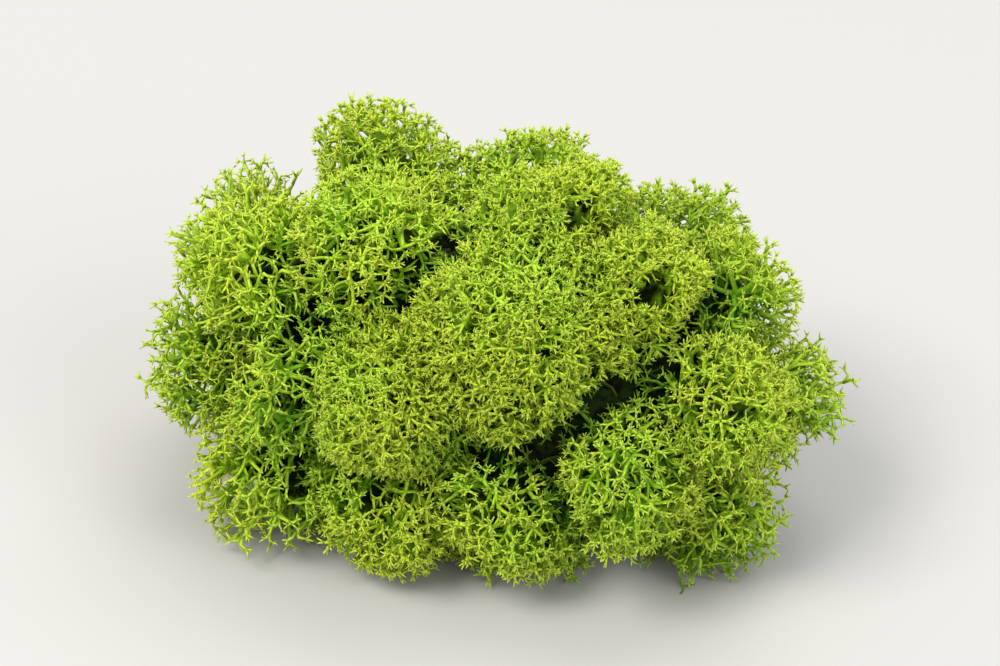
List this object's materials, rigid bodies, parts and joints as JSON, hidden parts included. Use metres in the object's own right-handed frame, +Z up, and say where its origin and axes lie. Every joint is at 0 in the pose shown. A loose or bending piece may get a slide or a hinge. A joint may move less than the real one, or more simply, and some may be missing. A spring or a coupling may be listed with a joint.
{
  "type": "reindeer moss clump",
  "caption": "Picked clump of reindeer moss: round tufts of finely forked lichen branches grown together, lying on a flattened foot.",
  "frame": {"origin": "middle of the clump's footprint, on the surface that it rests on", "axes": "+X runs along the clump, -Y is its front, where the crown tuft is, and +Z is up"},
  "size_m": [0.1004, 0.0694, 0.0582],
  "materials": {
    "moss_lime": "matt, bright lime green tips",
    "moss_leaf": "matt leaf green",
    "moss_deep": "matt deep green"
  },
  "bodies": {
    "root": {"crown_tuft": "moss_lime", "top_tuft": "moss_lime", "top_right_tuft": "moss_lime", "top_left_tuft": "moss_lime", "left_shoulder_tuft": "moss_lime", "left_foot_tuft": "moss_lime", "middle_front_tuft": "moss_lime", "coarse_front_tuft": "moss_lime", "front_foot_tuft": "moss_lime", "left_front_tuft": "moss_leaf", "left_end_tuft": "moss_leaf", "right_front_tuft": "moss_leaf", "right_foot_tuft": "moss_leaf", "right_side_tuft": "moss_leaf", "right_shoulder_tuft": "moss_leaf", "right_end_tuft": "moss_leaf", "back_top_tuft": "moss_leaf", "back_left_tuft": "moss_leaf", "back_shoulder_tuft": "moss_leaf", "back_right_tuft": "moss_deep", "back_end_tuft": "moss_deep", "back_foot_left_tuft": "moss_deep", "back_foot_middle_tuft": "moss_deep", "back_foot_right_tuft": "moss_deep"}
  },
  "joints": []
}
